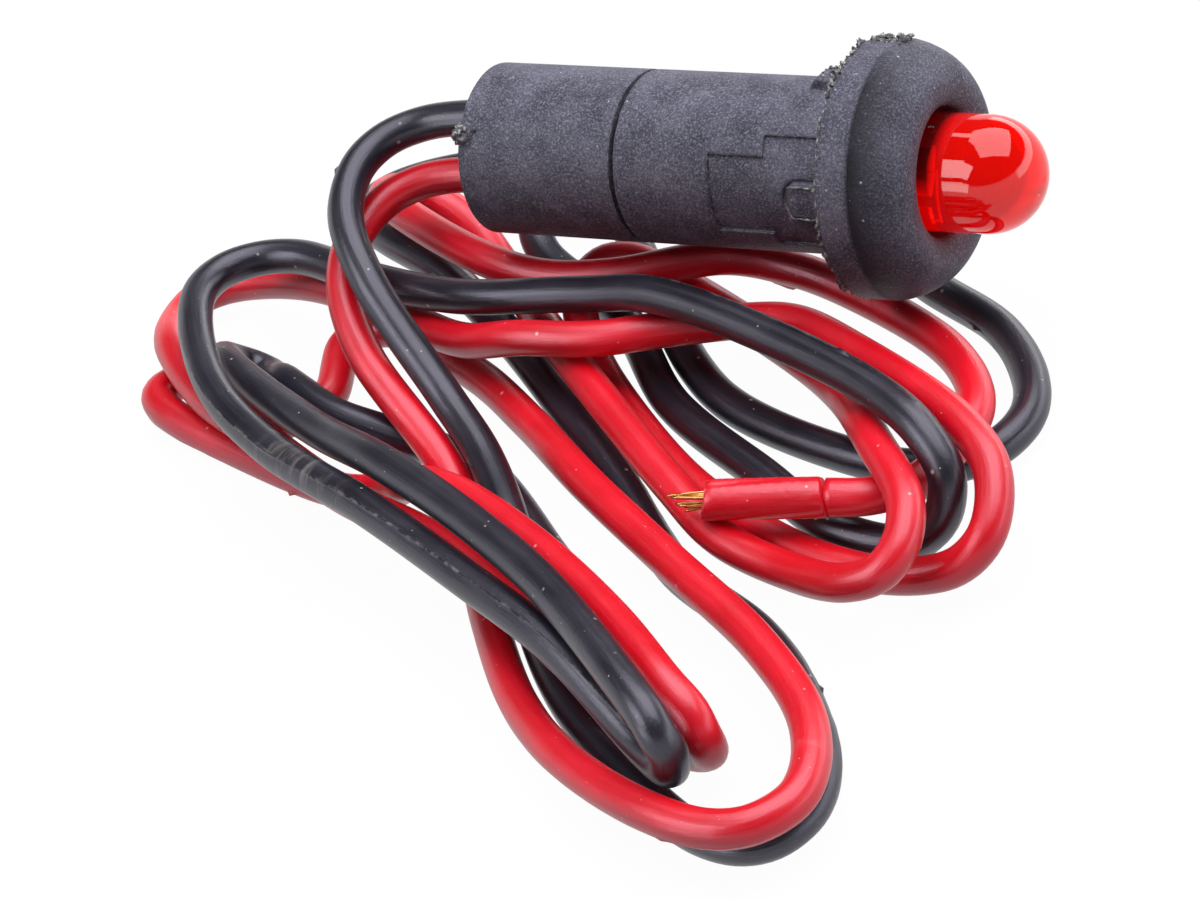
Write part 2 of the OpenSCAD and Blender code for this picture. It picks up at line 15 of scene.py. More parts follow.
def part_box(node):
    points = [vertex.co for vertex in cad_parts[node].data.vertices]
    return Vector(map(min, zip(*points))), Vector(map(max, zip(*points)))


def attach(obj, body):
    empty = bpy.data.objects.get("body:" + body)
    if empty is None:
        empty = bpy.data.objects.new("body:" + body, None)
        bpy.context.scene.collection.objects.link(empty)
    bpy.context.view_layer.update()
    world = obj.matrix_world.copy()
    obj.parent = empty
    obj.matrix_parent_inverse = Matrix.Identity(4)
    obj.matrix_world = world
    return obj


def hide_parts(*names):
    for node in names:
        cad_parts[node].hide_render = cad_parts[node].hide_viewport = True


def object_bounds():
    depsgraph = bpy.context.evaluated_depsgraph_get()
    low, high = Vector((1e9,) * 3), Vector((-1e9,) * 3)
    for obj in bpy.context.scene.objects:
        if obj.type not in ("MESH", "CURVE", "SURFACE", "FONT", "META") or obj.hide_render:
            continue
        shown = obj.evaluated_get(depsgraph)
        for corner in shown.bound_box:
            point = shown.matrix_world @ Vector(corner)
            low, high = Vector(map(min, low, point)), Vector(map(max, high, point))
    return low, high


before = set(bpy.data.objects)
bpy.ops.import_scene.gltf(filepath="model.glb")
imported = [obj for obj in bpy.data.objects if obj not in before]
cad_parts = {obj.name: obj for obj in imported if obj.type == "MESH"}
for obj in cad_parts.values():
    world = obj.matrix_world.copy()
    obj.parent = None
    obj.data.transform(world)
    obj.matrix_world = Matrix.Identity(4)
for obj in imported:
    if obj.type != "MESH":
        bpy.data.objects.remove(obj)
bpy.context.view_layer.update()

MM = 0.001

# ---------------------------------------------------------------- camera

CAMERA_PLACE = (89.207, -134.564, 107.903)
CAMERA_RIGHT = (0.8580, 0.4328, -0.2767)
CAMERA_UP = (-0.0800, 0.6447, 0.7602)
CAMERA_LENS = 138


def add_camera():
    """A long lens that looks down on the lamp from its front right, rolled clockwise."""
    right = Vector(CAMERA_RIGHT)
    up = Vector(CAMERA_UP)
    back = right.cross(up).normalized()
    up = back.cross(right).normalized()
    right.normalize()
    turn = Matrix((right, up, back)).transposed().to_4x4()
    camera = bpy.data.objects.new("camera", bpy.data.cameras.new("camera"))
    camera.data.lens = CAMERA_LENS
    camera.data.clip_start = 0.01
    camera.matrix_world = Matrix.Translation(Vector(CAMERA_PLACE) * MM) @ turn
    bpy.context.collection.objects.link(camera)
    bpy.context.scene.camera = camera


add_camera()

# ---------------------------------------------------------------- cords

WIRE_D = 1.6
CAP_REAR_X = -18.4
RING_SPACING = 0.3

# The black lead's route, from inside the cap to its free end, in millimetres
BLACK_ROUTE = [
    (-13, 0.55, 1.15), (-17, 0.55, 1.15), (-20, 0.55, 1.15), (-22.4, 0.1, 1),
    (-23.8, -1.1, 0.9), (-24.4, -2.8, 0.6), (-24, -5.1, -0.2), (-22, -7.6, -1.7),
    (-17.5, -10.8, -5.2), (-14.6, -13.2, -6.2), (-11, -17.4, -6.8), (-8.4, -21.3, -8),
    (-4.6, -25.4, -8.2), (1.4, -29.8, -8.2), (4.2, -31.2, -8.2), (6, -31.4, -8.2),
    (7.2, -30.8, -8.2), (7.9, -29.2, -8.2), (7.4, -26.8, -8.2), (4.4, -22.7, -8.2),
    (1.4, -20, -8.2), (-3.8, -17, -8.2), (-9.2, -11.9, -8.2), (-14.8, -7, -8.2),
    (-19.5, -3.2, -7.8), (-23.6, -0.7, -6.8), (-27.6, 1.3, -6.8), (-30, 3, -7.2),
    (-30.9, 4.7, -7.7), (-30.6, 6.4, -8), (-29.3, 7.8, -8.2), (-26, 9, -8.2),
    (-18.6, 10.1, -8.2), (-13.6, 9.8, -8.2), (-8.8, 8.3, -8.2), (-5.1, 5.8, -8.2),
    (-0.8, 2.5, -8.2), (4, -0.3, -8.2), (6.6, -3.3, -8.2), (7.4, -5.6, -8.2),
    (7, -7.5, -8.2), (5.8, -8.8, -8.2), (3.4, -9.4, -8.2), (-1, -8.6, -8.2),
    (-6.1, -6.6, -8.2), (-9.2, -4.2, -8.2), (-14.1, 1.4, -8.2), (-17.5, 5.1, -7.6),
    (-19.2, 6, -7.3), (-20.4, 5.7, -7.2), (-21, 5.1, -7.2), (-21.2, 3.8, -7.4),
    (-20.2, 2.4, -7.9), (-14.2, -1.4, -8.2), (-9, -6.8, -8.2), (-2.6, -10.8, -8.2),
    (1.7, -13.4, -8.2), (5.2, -14, -8.2), (6.9, -14, -7.2), (7.6, -13.7, -6.2),
    (7.7, -13.1, -4.9), (6.4, -12, -3.7), (3.6, -10.2, -3.4), (-2.4, -7.6, -3.2),
    (-9, -5.5, -3.2), (-13.4, -5, -3.9), (-19.9, -4.9, -4.6), (-24.8, -4.2, -4.6),
    (-29.3, -3, -4.6), (-31.2, -3.4, -4.5), (-32.4, -4.6, -4.3), (-32.6, -6.4, -4.1),
    (-31.2, -9.2, -4), (-27.9, -13, -4.2), (-23.4, -16, -4.4), (-16.6, -19.2, -4.2),
    (-10, -22.6, -4.2), (-3.8, -25.8, -4.6), (1.2, -28.9, -6.2), (2.7, -29.9, -6),
    (3.2, -30.3, -5.4), (3.4, -30.4, -4.6), (3.2, -30.4, -3.8), (2.7, -30, -3.2),
    (0.8, -28.5, -2.8), (-5.2, -23.7, -3), (-11.6, -19.9, -3), (-16.5, -17.4, -3.2),
    (-21.2, -14.9, -4.2), (-27.2, -11.3, -5.2), (-30.4, -9, -6), (-31.1, -8.3, -6.4),
    (-31.1, -7.5, -7.3), (-30.6, -7.2, -7.8), (-29.9, -7.3, -8), (-28.9, -8, -7.7),
    (-27.1, -9.5, -6.4), (-23.3, -11.4, -6.4), (-21, -11.6, -6.9), (-17.7, -11.6, -7.9),
    (-15.4, -12.4, -8.2), (-9.6, -17.2, -8.2), (-8.4, -18.1, -8.2),
]

# The red lead's route, from inside the cap to its stripped end, in millimetres
RED_ROUTE = [
    (-13, -0.55, -1.15), (-17, -0.55, -1.15), (-20, -0.55, -1.15), (-22.4, -1.2, -1.2),
    (-23.8, -2.5, -1.4), (-24.5, -4.8, -2), (-24, -7, -2.8), (-22, -9.6, -4.2),
    (-16.4, -13.6, -7), (-14.6, -15.7, -7.9), (-10.8, -21.1, -8.2), (-6.6, -26, -7.8),
    (-2.4, -29.4, -7), (2.6, -31.9, -6.4), (5.5, -32.4, -6.4), (7.2, -31.9, -6.4),
    (8.3, -30.4, -6.4), (8.2, -28.6, -6.4), (6.8, -25.9, -6.4), (3.1, -22.4, -6.4),
    (-3.1, -18.2, -6.4), (-9.2, -13.9, -6.7), (-14.9, -9.2, -7.8), (-19.4, -6, -8.2),
    (-25, -3.5, -8.2), (-26.3, -3.6, -8.2), (-27, -4.1, -8.2), (-27.2, -4.9, -8.2),
    (-26.1, -8.2, -8.2), (-26.5, -9.4, -8.2), (-27.6, -10.2, -8.2), (-29.3, -10.3, -8.2),
    (-32.8, -8.1, -8.2), (-33.8, -8, -8.2), (-34.6, -8.7, -8), (-34.6, -9.6, -7.9),
    (-33.6, -10.5, -7.9), (-29, -12.2, -8.2), (-22.3, -14.2, -8.2), (-19.5, -14.4, -7.8),
    (-16.4, -16, -5.6), (-13.7, -16.9, -5.1), (-8.2, -19.8, -4.8), (-2.4, -23.7, -4.6),
    (1.6, -26.9, -4.6), (2.8, -27.6, -5.2), (3.2, -27.9, -6), (3.2, -27.8, -6.8),
    (2.8, -27.4, -7.5), (1.8, -27, -8), (-0.4, -26.2, -7.6), (-4, -24.9, -6.4),
    (-10.2, -20.8, -6.4), (-14.6, -18.4, -6.4), (-20.2, -16.2, -6.6), (-26.9, -12.9, -6.4),
    (-30.8, -10.8, -6.5), (-34.5, -7.6, -6.5), (-36.2, -4.8, -7.4), (-36.4, -3, -7.7),
    (-35.7, -2, -7.8), (-34, -1.6, -7.6), (-29.1, -2.6, -6.6), (-23.4, -4.6, -6.4),
    (-19.3, -6.2, -6), (-15.6, -7, -4.9), (-12, -6.8, -4.8), (-8.4, -5.4, -5),
    (-5.6, -4.4, -5.2), (-3.2, -4.5, -5), (0.8, -6.4, -4.8), (7.3, -10.4, -4.6),
    (9.4, -12.4, -5), (10, -14.1, -5.8), (9.8, -15.2, -6.5), (8.6, -15.9, -7.4),
    (5.6, -16, -8.1), (1.2, -15.1, -8.2), (-5.2, -12, -8.2), (-11, -7.4, -8.2),
    (-14.3, -4.2, -7.8), (-15.6, -2.3, -7), (-15.8, -1.1, -6.5), (-15.2, 0, -6.2),
    (-14, 0.4, -6.3), (-11.2, -0.6, -6.6), (-4.4, -3.8, -7.3), (-0.7, -6.5, -6.9),
    (3.9, -11.8, -4.7), (7.1, -15.6, -4.5), (7.5, -17.4, -5), (6.9, -18.4, -5.6),
    (5.3, -18.6, -6.2), (1.6, -17.2, -7.2), (-2.1, -15.8, -7.1), (-5.3, -13.5, -6.7),
    (-11, -8.8, -6.5), (-16.7, -3.8, -6.7), (-21.5, 1, -7.9), (-24.3, 3.2, -7.2),
    (-26.4, 3.9, -6.4), (-27.2, 3.7, -5.9), (-27.6, 3.2, -5.4), (-27.7, 2.4, -5),
    (-27, 1.4, -4.6), (-20.4, -2, -4.6), (-16.5, -2.9, -4.8), (-13, -2.5, -4.8),
    (-8.6, -0.4, -5.1), (-5.7, 0, -5.8), (-2.4, -0.8, -6.2), (3.4, -3.8, -6.4),
    (5.8, -6.4, -6.4), (6.4, -8.2, -6.4), (6.1, -10.1, -6.5), (5.6, -12, -6.5),
    (4, -13.5, -6.2), (2.4, -14, -6),
]


def smooth_line(points, steps=12):
    """A centripetal Catmull-Rom curve through the points, as an array."""
    p = np.array(points, dtype=float)
    p = np.vstack([2 * p[0] - p[1], p, 2 * p[-1] - p[-2]])
    line = []
    for a, b, c, d in zip(p[:-3], p[1:-2], p[2:-1], p[3:]):
        t1 = math.sqrt(np.linalg.norm(b - a))
        t2 = t1 + math.sqrt(np.linalg.norm(c - b))
        t3 = t2 + math.sqrt(np.linalg.norm(d - c))
        for t in np.linspace(t1, t2, steps, endpoint=False):
            ab = (t1 - t) / t1 * a + t / t1 * b
            bc = (t2 - t) / (t2 - t1) * b + (t - t1) / (t2 - t1) * c
            cd = (t3 - t) / (t3 - t2) * c + (t - t2) / (t3 - t2) * d
            abc = (t2 - t) / t2 * ab + t / t2 * bc
            bcd = (t3 - t) / (t3 - t1) * bc + (t - t1) / (t3 - t1) * cd
            line.append((t2 - t) / (t2 - t1) * abc + (t - t1) / (t2 - t1) * bcd)
    line.append(p[-2])
    return np.array(line)


def arc_lengths(line):
    """The distance along the line to each of its points."""
    return np.concatenate([[0], np.cumsum(np.linalg.norm(np.diff(line, axis=0), axis=1))])


def resample(line, spacing):
    """The same line with points an even spacing apart."""
    along = arc_lengths(line)
    count = int(round(along[-1] / spacing)) + 1
    at = np.linspace(0, along[-1], count)
    return np.stack([np.interp(at, along, line[:, k]) for k in range(3)], axis=1)


def drift(length, spacing, amount, seed):
    """A function of the place along a line that wanders smoothly between -amount and amount.

    Its chance values stand this spacing apart, up to this length.
    """
    knots = np.arange(0, length + 2 * spacing, spacing)
    values = np.random.default_rng(seed).uniform(-amount, amount, len(knots))

    def at(s):
        k = np.floor(s / spacing)
        f = s / spacing - k
        f = f * f * (3 - 2 * f)
        k = k.astype(int)
        return values[k] * (1 - f) + values[k + 1] * f

    return at


def square_to(direction):
    """A level direction and an upward one, both square to this one."""
    side = np.cross(direction, (0, 0, 1))
    side /= np.linalg.norm(side)
    return side, np.cross(side, direction)


def carried_frames(line):
    """Two directions across the line at each point, carried along it without twist."""
    tangents = np.gradient(line, axis=0)
    tangents /= np.linalg.norm(tangents, axis=1)[:, None]
    sides = [square_to(tangents[0])[0]]
    for t in tangents[1:]:
        side = sides[-1] - t * np.dot(sides[-1], t)
        sides.append(side / np.linalg.norm(side))
    sides = np.array(sides)
    return sides, np.cross(sides, tangents)


def mesh_object(name, vertices, faces):
    """A smooth-shaded mesh object from vertices in millimetres."""
    mesh = bpy.data.meshes.new(name)
    mesh.from_pydata([tuple(v) for v in np.asarray(vertices) * MM], [], faces)
    mesh.polygons.foreach_set("use_smooth", [True] * len(mesh.polygons))
    mesh.update()
    piece = bpy.data.objects.new(name, mesh)
    bpy.context.collection.objects.link(piece)
    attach(piece, "root")
    return piece


def tube_faces(rows, n, first=0):
    """The faces of a closed tube whose rings of n vertices follow one another, from vertex first on."""
    faces = [
        (
            first + i * n + k, first + i * n + (k + 1) % n,
            first + (i + 1) * n + (k + 1) % n, first + (i + 1) * n + k,
        )
        for i in range(rows - 1)
        for k in range(n)
    ]
    last = first + (rows - 1) * n
    return faces + [tuple(range(first, first + n))[::-1], tuple(range(last, last + n))]


def add_attribute(piece, name, kind, values):
    """A value at each vertex that the piece's material can read."""
    attribute = piece.data.attributes.new(name, kind, "POINT")
    key = "vector" if kind == "FLOAT_VECTOR" else "value"
    attribute.data.foreach_set(key, np.asarray(values, dtype=float).ravel())


# The turns of a ring's vertices in degrees, closer together over the torn ridge at 0
RIDGE_TURNS = [-14, -8, -4, 0, 4, 8, 14]
PLAIN_TURNS = list(range(30, 345, 15))
RIDGE_HALF_WIDTH = 4.0
RIDGE_HEIGHT = 0.055

# A burr stands where a drift between -1 and 1 passes BURR_START, and BURR_RISE times as high. Its height
# times BURR_WHITENING is added to how white the ridge is.
BURR_START = 0.86
BURR_RISE = 1.6
BURR_WHITENING = 8


def insulated_wire(name, line, seed):
    """A lead's insulation: a tube with the fine torn ridge where it parted from its twin.

    Its material reads tear, which is 1 where the plastic tore, and skin, which is the distance along the
    lead and the place across it, in metres.
    """
    along = arc_lengths(line)
    length = along[-1]
    sides, ups = carried_frames(line)
    twist = drift(length, spacing=35, amount=70, seed=seed)(along)
    raised = np.clip(0.35 + drift(length, spacing=14, amount=0.8, seed=seed + 1)(along), 0.08, 1)
    ragged = 0.65 + drift(length, spacing=0.7, amount=0.35, seed=seed + 2)(along)
    peaks = drift(length, spacing=0.8, amount=1, seed=seed + 3)(along)
    burrs = np.clip(peaks - BURR_START, 0, 1) * BURR_RISE
    ridge = RIDGE_HEIGHT * raised * ragged + burrs
    whitened = np.minimum(1, raised + burrs * BURR_WHITENING)
    swell = 1 + drift(length, spacing=5, amount=0.008, seed=seed + 4)(along)
    turns = np.array(RIDGE_TURNS + PLAIN_TURNS, dtype=float)
    bump = np.exp(-((turns / RIDGE_HALF_WIDTH) ** 2))
    vertices, tear, skin = [], [], []
    for i, centre in enumerate(line):
        a = np.radians(turns + twist[i])
        radius = WIRE_D / 2 * swell[i] + ridge[i] * bump
        off_side, off_up = radius * np.cos(a), radius * np.sin(a)
        vertices.extend(centre + off_side[:, None] * sides[i] + off_up[:, None] * ups[i])
        tear.extend(bump * whitened[i])
        skin.extend([(along[i] * MM, x * MM, y * MM) for x, y in zip(off_side, off_up)])
    piece = mesh_object(name, vertices, tube_faces(len(line), len(turns)))
    add_attribute(piece, "tear", "FLOAT", tear)
    add_attribute(piece, "skin", "FLOAT_VECTOR", skin)
    return piece


def add_lead(name, line):
    """A lead's insulation along its line from the cap, with the CAD lead hidden. Its count of points is
    its seed.
    """
    piece = insulated_wire(name, line, seed=len(line))
    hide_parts(name.replace("_insulation", "_lead"))
    return piece


# ---------------------------------------------------------------- stripped end

SLUG_D = 1.75
SLUG_LEN = 5.1
SLUG_TURNS = 48
SLUG_RINGS = 46
SLUG_CREASE = 0.07
SLUG_CREASE_WIDTH = 0.16
FAR_END_DRAW = 0.07
FAR_END_SLANT = 0.35
FAR_END_TEAR = 0.9
JOINT_DRAW = 0.05
JOINT_GAP = 0.05
JOINT_SLANT = 0.14

STRAND_COUNT = 11
STRAND_R = 0.07
STRAND_TURNS = 8
STRAND_RINGS = 12
STRAND_FOOT = 1.0
LONG_STRAND = 1.6


def slug_radius(a, f):
    """The offcut's radius at turn a and share f of its length: oval, creased, drawn in at its ends."""
    oval = SLUG_D / 2 * (1 + 0.02 * math.cos(2 * a + 1.2))
    off_crease = (a - 1.0 - 0.7 * f) / SLUG_CREASE_WIDTH
    crease = SLUG_CREASE * math.exp(-(off_crease ** 2)) * min(1, f * 3)
    far_end = FAR_END_DRAW * max(0, f - 0.95) / 0.05
    joint = JOINT_DRAW * max(0, 0.03 - f) / 0.03
    return oval - crease - far_end - joint


def add_slug(start, direction):
    """The offcut of insulation that was slid along the core, cut askew and stretched at its end."""
    side, up = square_to(direction)
    wobble = np.random.default_rng(5).normal(0, 0.006, (SLUG_RINGS, SLUG_TURNS))
    vertices, tear, skin = [], [], []
    for i in range(SLUG_RINGS):
        f = i / (SLUG_RINGS - 1)
        for k in range(SLUG_TURNS):
            a = 2 * math.pi * k / SLUG_TURNS
            radius = slug_radius(a, f) + wobble[i, k]
            y, z = radius * math.cos(a), radius * math.sin(a)
            near = JOINT_GAP + JOINT_SLANT * math.cos(a - 0.9)
            far = SLUG_LEN - FAR_END_SLANT * z + 0.10 * math.sin(a)
            s = near + f * (far - near)
            vertices.append(start + s * direction + y * side + z * up)
            tear.append(FAR_END_TEAR if i == SLUG_RINGS - 1 else 0.0)
            skin.append((s * MM, y * MM, z * MM))
    piece = mesh_object("red_offcut", vertices, tube_faces(SLUG_RINGS, SLUG_TURNS))
    add_attribute(piece, "tear", "FLOAT", tear)
    add_attribute(piece, "skin", "FLOAT_VECTOR", skin)
    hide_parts("red_slug")
    return piece


def add_strands(start, direction):
    """The stripped core's fine copper strands, in two loose bundles, rooted inside the offcut."""
    side, up = square_to(direction)
    rng = np.random.default_rng(17)
    vertices, faces = [], []
    for k in range(STRAND_COUNT):
        bundle = 0.20 if k <= STRAND_COUNT // 2 else -0.22
        foot = np.array([rng.uniform(-0.2, 0.2), bundle + rng.uniform(-0.09, 0.09)])
        lean = np.array([rng.uniform(-0.25, 0.25), rng.uniform(-0.12, 0.12) + bundle * 0.4])
        reach = rng.uniform(0.7, 1.35) if k else LONG_STRAND
        curl = rng.uniform(-0.25, 0.25, 2)
        line = []
        for f in np.arange(STRAND_RINGS) / (STRAND_RINGS - 1):
            off = foot + lean * max(0, f - 0.3) + curl * max(0, f - 0.5) ** 2
            s = SLUG_LEN - STRAND_FOOT + f * (reach + STRAND_FOOT)
            line.append(start + s * direction + off[0] * side + off[1] * up)
        sides, ups = carried_frames(np.array(line))
        faces += tube_faces(STRAND_RINGS, STRAND_TURNS, first=len(vertices))
        for i, centre in enumerate(line):
            radius = STRAND_R * (0.6 if i in (0, STRAND_RINGS - 1) else 1)
            for a in 2 * math.pi * np.arange(STRAND_TURNS) / STRAND_TURNS:
                vertices.append(centre + radius * (math.cos(a) * sides[i] + math.sin(a) * ups[i]))
    piece = mesh_object("copper_strands", vertices, faces)
    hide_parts("red_strands")
    return piece


red_line = resample(smooth_line(RED_ROUTE), RING_SPACING)
black_line = resample(smooth_line(BLACK_ROUTE), RING_SPACING)
red_end = np.array(RED_ROUTE[-1], dtype=float)
red_way = red_end - np.array(RED_ROUTE[-2], dtype=float)
red_way /= np.linalg.norm(red_way)
red_offcut = add_slug(red_end, red_way)
copper_strands = add_strands(red_end, red_way)
red_insulation = add_lead("red_insulation", red_line)
black_insulation = add_lead("black_insulation", black_line)

# ---------------------------------------------------------------- moulding flash and crumbs

BODY_D = 7.5
FLANGE_D = 11
FLANGE_EDGE = 1.5
CREST_X = 3.65
LENS_HOLE_D = 5.5

TOP_LUG_TURN = 75
TOP_LUG_H = 0.45
SIDE_LUG_TURN = TOP_LUG_TURN + 90
SIDE_LUG_H = 0.4
LUG_W = 1.4
LUG_LEN = 2.4
LUG_RAMP = 0.5
POCKET_DEPTH = 0.12

GATE_TURN = 134
GATE_SINK = 0.25

FIN_SINK = 0.05


def round_axis(x, radius, turn):
    """A point at this distance from the lamp's axis, turned from +Y towards +Z."""
    a = math.radians(turn)
    return np.array([x, radius * math.cos(a), radius * math.sin(a)])


def add_fin(name, feet, outs, heights, thickness, seed):
    """A torn fin of flash along a line: its feet, its way out, and how high it may stand."""
    rng = np.random.default_rng(seed)
    torn_off = drift(len(feet), spacing=2.5, amount=0.35, seed=seed)(np.arange(len(feet)))
    vertices, faces = [], []
    for i, (foot, out, height) in enumerate(zip(feet, outs, heights)):
        ahead = feet[min(i + 1, len(feet) - 1)] - feet[max(i - 1, 0)]
        across = np.cross(ahead, out)
        across /= np.linalg.norm(across)
        high = height * (0.45 + torn_off[i] + rng.uniform(-0.15, 0.2))
        tip = foot + out * high + across * rng.uniform(-0.3, 0.3) * high
        root = foot - out * FIN_SINK
        vertices += [root - across * thickness / 2, tip, root + across * thickness / 2]
    for a in range(0, 3 * len(feet) - 3, 3):
        b = a + 3
        faces += [(a, b, b + 1, a + 1), (a + 1, b + 1, b + 2, a + 2), (a + 2, b + 2, b, a)]
    last = len(vertices) - 1
    faces += [(0, 1, 2), (last, last - 1, last - 2)]
    piece = mesh_object(name, vertices, faces)
    return piece


def flange_fin():
    """Flash round the flange's rear rim, where the two mould halves met."""
    turns = np.arange(0, 360, 1.2)
    patches = drift(360, spacing=9, amount=1, seed=31)(turns)
    heights = np.where(patches > -0.4, 0.26, 0.12) + np.where(patches > 0.5, 0.16, 0)
    feet = [round_axis(0.06, FLANGE_D / 2 - 0.07, t) for t in turns]
    outs = [round_axis(-0.35, 1, t) for t in turns]
    return add_fin("flange_flash", feet, outs, heights, thickness=0.10, seed=32)


def crumb(centre, size, rng):
    """One torn crumb: an icosahedron with pushed corners."""
    shape = bmesh.new()
    bmesh.ops.create_icosphere(shape, subdivisions=1, radius=size / 2)
    points = [np.array(v.co) * rng.uniform(0.55, 1.35) + centre for v in shape.verts]
    faces = [tuple(v.index for v in face.verts) for face in shape.faces]
    shape.free()
    return points, faces


def add_crumbs(name, spots):
    """A scatter of torn crumbs: each spot gives a centre, a spread, a count and a largest size.

    The count of spots is the seed.
    """
    rng = np.random.default_rng(len(spots))
    vertices, faces = [], []
    for centre, spread, count, largest in spots:
        for _ in range(count):
            place = centre + rng.uniform(-1, 1, 3) * spread
            points, sides = crumb(place, largest * rng.uniform(0.35, 1), rng)
            faces += [tuple(len(vertices) + k for k in side) for side in sides]
            vertices += points
    piece = mesh_object(name, vertices, faces)
    return piece


def crumb_spots():
    """Where the moulding left crumbs: the flange's top, the top lug, the gate and the lens hole."""
    spots = []
    for turn in range(58, 70, 2):
        for x in (0.4, 0.8, 1.2, 1.6):
            spots.append((round_axis(x, FLANGE_D / 2 - 0.02, turn), (0.2, 0.2, 0.06), 3, 0.30))
    for turn in (76, 80, 85, 92, 95, 98, 104, 110):
        spots.append((round_axis(0.1, FLANGE_D / 2, turn), (0.1, 0.12, 0.08), 4, 0.24))
    for x in np.arange(LUG_RAMP - LUG_LEN, 0, 0.15):
        edge = round_axis(x, BODY_D / 2 + TOP_LUG_H - 0.03, TOP_LUG_TURN - 8)
        crown = round_axis(x, BODY_D / 2 + TOP_LUG_H - 0.03, TOP_LUG_TURN + 3)
        spots.append((edge, (0.1, 0.12, 0.06), 4, 0.24))
        spots.append((crown, (0.1, 0.3, 0.05), 1, 0.16))
    gate = round_axis(CAP_REAR_X + GATE_SINK, BODY_D / 2 - GATE_SINK, GATE_TURN)
    ways = np.random.default_rng(9).normal(0, 1, (70, 3))
    for way in ways / np.linalg.norm(ways, axis=1)[:, None]:
        spots.append((gate + 0.5 * way, (0.06, 0.06, 0.06), 1, 0.42))
    for turn in (97, 99, 286, 289):
        rim = round_axis(CREST_X - 0.15, LENS_HOLE_D / 2 - 0.09, turn)
        spots.append((rim, (0.12, 0.05, 0.05), 2, 0.14))
    return spots


def lug_fin():
    """A torn outline round the lug in the pocket, along its sides and its round rear end."""
    turn = math.radians(SIDE_LUG_TURN)
    out = np.array([0, math.cos(turn), math.sin(turn)])
    across = np.array([0, -math.sin(turn), math.cos(turn)])
    half = LUG_W / 2
    straight_x = half - LUG_LEN
    ramp_x = LUG_RAMP - LUG_LEN
    ramp_slope = (SIDE_LUG_H + POCKET_DEPTH) / LUG_RAMP
    outline = [(x, half) for x in np.arange(0, straight_x, -0.12)]
    for a in np.radians(np.arange(0, 181, 10)):
        outline.append((straight_x - half * math.sin(a), half * math.cos(a)))
    outline += [(x, -half) for x in np.arange(straight_x, 0, 0.12)]
    feet, outs = [], []
    for x, y in outline:
        crown = BODY_D / 2 + min(SIDE_LUG_H, SIDE_LUG_H + (x - ramp_x) * ramp_slope)
        foot = math.sqrt(crown ** 2 - y ** 2) * out + y * across
        feet.append(foot + np.array([x, 0, 0]))
        outs.append(foot / np.linalg.norm(foot))
    return add_fin("lug_flash", feet, outs, [0.14] * len(feet), thickness=0.08, seed=41)


flange_flash = flange_fin()
lug_flash = lug_fin()
moulding_crumbs = add_crumbs("moulding_crumbs", crumb_spots())

# ---------------------------------------------------------------- materials


